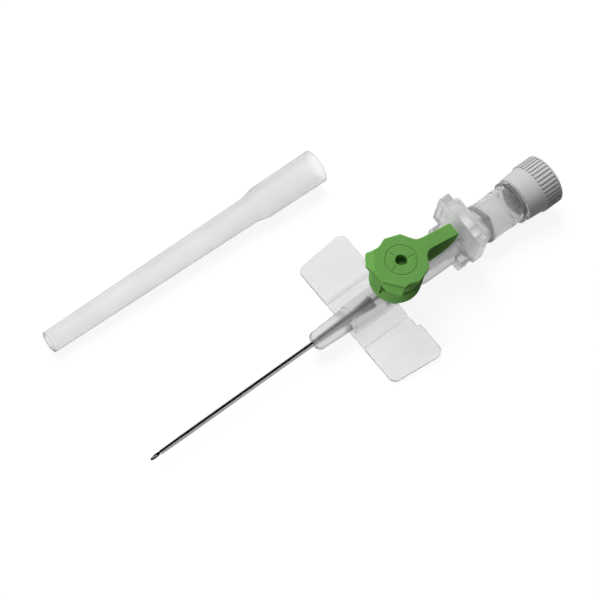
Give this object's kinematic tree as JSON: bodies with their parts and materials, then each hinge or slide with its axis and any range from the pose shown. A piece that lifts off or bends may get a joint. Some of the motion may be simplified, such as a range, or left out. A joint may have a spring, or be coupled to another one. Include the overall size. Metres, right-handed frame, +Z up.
{
  "type": "iv cannula",
  "caption": "Winged intravenous cannula with a capped injection port, its needle, flash chamber and vent plug in place, and its clear needle cover lying beside it.",
  "frame": {"origin": "middle of the wings' flat underside, the face that lies on the skin", "axes": "+X along the needle towards the vent plug, +Z up, out of the injection port; the needle is pitched a little over 1 degree nose down because the part lies on its wings and on the plug's ring"},
  "size_m": [0.1217, 0.0592, 0.0212],
  "materials": {
    "clear_hub": "clear moulded polypropylene, slightly milky",
    "clear_needle_hub": "clear moulded plastic, slightly milky",
    "clear_chamber": "clear moulded plastic",
    "clear_cover": "clear drawn tube, thin walls, slightly milky",
    "catheter": "translucent smooth catheter tube",
    "steel": "bright drawn stainless steel",
    "silicone": "soft translucent silicone",
    "green_cap": "satin moulded green plastic",
    "grey_plug": "satin grey plastic",
    "filter": "white porous membrane"
  },
  "bodies": {
    "hub": {"catheter_hub": "clear_hub", "catheter_tube": "catheter", "catheter_ferrule": "steel", "port_valve": "silicone", "needle_cover": "clear_cover"},
    "left_flap": {"wing_left": "clear_hub"},
    "right_flap": {"wing_right": "clear_hub"},
    "needle_set": {"needle": "steel", "needle_hub": "clear_needle_hub", "flash_chamber": "clear_chamber"},
    "plug_slide": {"vent_filter": "filter"},
    "plug": {"vent_plug": "grey_plug"},
    "collar": {"cap_collar": "green_cap"},
    "lid": {"cap_lid": "green_cap"}
  },
  "joints": [
    {"name": "wing_left_fold", "type": "hinge", "parent": "hub", "child": "left_flap", "pos_m": [0, 0.0069, 0], "axis": [0.9997, 0, 0.0234], "range_deg": [0, 45], "stiffness_Nm_per_rad": 0.0008},
    {"name": "wing_right_fold", "type": "hinge", "parent": "hub", "child": "right_flap", "pos_m": [0, -0.0069, 0], "axis": [-0.9997, 0, -0.0234], "range_deg": [0, 45], "stiffness_Nm_per_rad": 0.0008},
    {"name": "needle_withdraw", "type": "slide", "parent": "hub", "child": "needle_set", "axis": [0.9997, 0, 0.0234], "range_m": [0, 0.09]},
    {"name": "plug_travel", "type": "slide", "parent": "needle_set", "child": "plug_slide", "axis": [0.9997, 0, 0.0234], "range_m": [0, 0.0076]},
    {"name": "plug_turn", "type": "hinge", "parent": "plug_slide", "child": "plug", "pos_m": [0.05527, 0, 0.0063], "axis": [0.9997, 0, 0.0234], "range_deg": [0, 540]},
    {"name": "collar_swivel", "type": "hinge", "parent": "hub", "child": "collar", "pos_m": [0.00659, 0, 0.00916], "axis": [-0.0234, 0, 0.9997], "continuous": true},
    {"name": "lid_hinge", "type": "hinge", "parent": "collar", "child": "lid", "pos_m": [-0.00044, 0, 0.01474], "axis": [0, -1, 0], "range_deg": [0, 120]}
  ],
  "couplings": [
    {"joint": "plug_travel", "follows": "plug_turn", "m_per_rad": 0.00079577}
  ]
}
